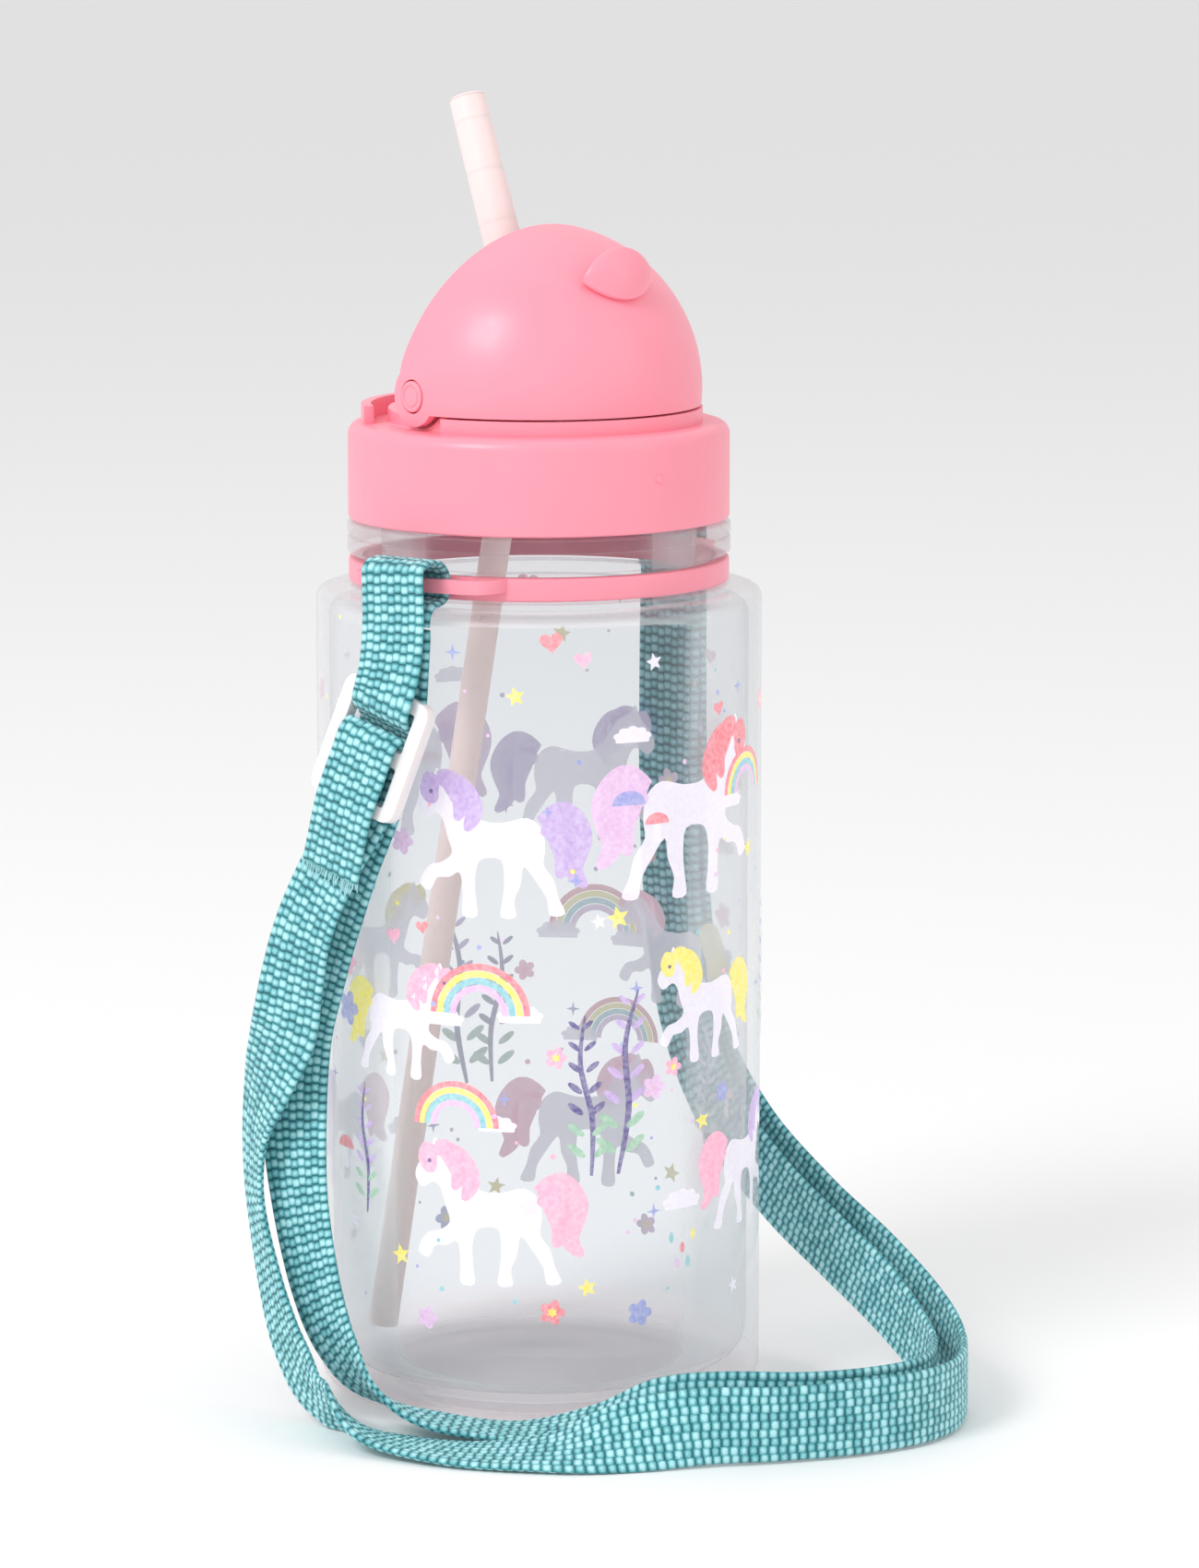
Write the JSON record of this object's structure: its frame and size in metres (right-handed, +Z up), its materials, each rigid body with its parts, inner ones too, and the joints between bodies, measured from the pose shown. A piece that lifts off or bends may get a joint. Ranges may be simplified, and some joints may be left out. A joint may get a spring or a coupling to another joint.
{
  "type": "kids water bottle",
  "caption": "Clear plastic kids water bottle with a screw cap, a swinging dome hood over a folding soft straw, and a swivelling ring with a webbing carry strap.",
  "frame": {"origin": "centre of the flat foot ring, on the surface that the bottle stands on", "axes": "+Z up along the bottle's axis, X along the hood's pivot pins, +Y towards the drinking side, where the straw leans"},
  "size_m": [0.1051, 0.1151, 0.2186],
  "materials": {
    "clear_bottle": "clear glossy copolyester with a printed pattern",
    "pink_plastic": "satin pink polypropylene",
    "straw_silicone": "translucent silicone",
    "lower_straw": "soft translucent plastic tube",
    "seal_silicone": "white silicone",
    "frosted_slider": "frosted clear acetal",
    "teal_webbing": "ribbed woven polyester webbing"
  },
  "bodies": {
    "bottle": {"bottle_body": "clear_bottle"},
    "strap_ring": {"strap_ring": "pink_plastic", "webbing_loop_near": "teal_webbing", "webbing_loop_far": "teal_webbing", "webbing_inner_strand": "teal_webbing", "webbing_outer_strand": "teal_webbing", "webbing_tail": "teal_webbing", "strap_slider": "frosted_slider"},
    "cap_seal": {"cap_seal": "seal_silicone"},
    "cap": {"screw_collar": "pink_plastic", "inner_dome": "pink_plastic", "pivot_pin_left": "pink_plastic", "pivot_pin_right": "pink_plastic", "straw_root": "straw_silicone", "lower_straw": "lower_straw"},
    "hood": {"hood": "pink_plastic"},
    "upper_straw_1": {"upper_straw_1": "straw_silicone"},
    "upper_straw_2": {"upper_straw_2": "straw_silicone"},
    "upper_straw_3": {"upper_straw_3": "straw_silicone"},
    "upper_straw_4": {"upper_straw_4": "straw_silicone"},
    "upper_straw_5": {"upper_straw_5": "straw_silicone"},
    "upper_straw_6": {"upper_straw_6": "straw_silicone"}
  },
  "joints": [
    {"name": "ring_swivel", "type": "hinge", "parent": "bottle", "child": "strap_ring", "pos_m": [0, 0, 0.1396], "axis": [0, 0, 1], "continuous": true},
    {"name": "cap_rise", "type": "slide", "parent": "bottle", "child": "cap_seal", "axis": [0, 0, 1], "range_m": [0, 0.005]},
    {"name": "cap_turn", "type": "hinge", "parent": "cap_seal", "child": "cap", "pos_m": [0, 0, 0.156], "axis": [0, 0, 1], "range_deg": [0, 450]},
    {"name": "hood_swing", "type": "hinge", "parent": "cap", "child": "hood", "pos_m": [0, 0, 0.17], "axis": [-1, 0, 0], "range_deg": [0, 98], "deforming": ["upper_straw_1", "upper_straw_2", "upper_straw_3", "upper_straw_4", "upper_straw_5", "upper_straw_6"]},
    {"name": "straw_bend_1", "type": "hinge", "parent": "cap", "child": "upper_straw_1", "pos_m": [0, -0.001, 0.1674], "axis": [-1, 0, 0], "range_deg": [-45.1, 0]},
    {"name": "straw_bend_2", "type": "hinge", "parent": "upper_straw_1", "child": "upper_straw_2", "pos_m": [0, 0.0023, 0.17577], "axis": [-1, 0, 0], "range_deg": [0, 40.2]},
    {"name": "straw_bend_3", "type": "hinge", "parent": "upper_straw_2", "child": "upper_straw_3", "pos_m": [0, 0.0056, 0.18415], "axis": [-1, 0, 0], "range_deg": [0, 45.1]},
    {"name": "straw_bend_4", "type": "hinge", "parent": "upper_straw_3", "child": "upper_straw_4", "pos_m": [0, 0.0089, 0.19252], "axis": [-1, 0, 0], "range_deg": [0, 45.1]},
    {"name": "straw_bend_5", "type": "hinge", "parent": "upper_straw_4", "child": "upper_straw_5", "pos_m": [0, 0.01219, 0.20089], "axis": [-1, 0, 0], "range_deg": [0, 40.2]},
    {"name": "straw_bend_6", "type": "hinge", "parent": "upper_straw_5", "child": "upper_straw_6", "pos_m": [0, 0.01549, 0.20927], "axis": [-1, 0, 0], "range_deg": [0, 25.5]}
  ],
  "couplings": [
    {"joint": "cap_turn", "follows": "cap_rise", "rad_per_m": 1570.8},
    {"joint": "straw_bend_1", "follows": "hood_swing", "ratio": -0.45},
    {"joint": "straw_bend_2", "follows": "hood_swing", "ratio": 0.4},
    {"joint": "straw_bend_3", "follows": "hood_swing", "ratio": 0.45},
    {"joint": "straw_bend_4", "follows": "hood_swing", "ratio": 0.45},
    {"joint": "straw_bend_5", "follows": "hood_swing", "ratio": 0.4},
    {"joint": "straw_bend_6", "follows": "hood_swing", "ratio": 0.25}
  ]
}
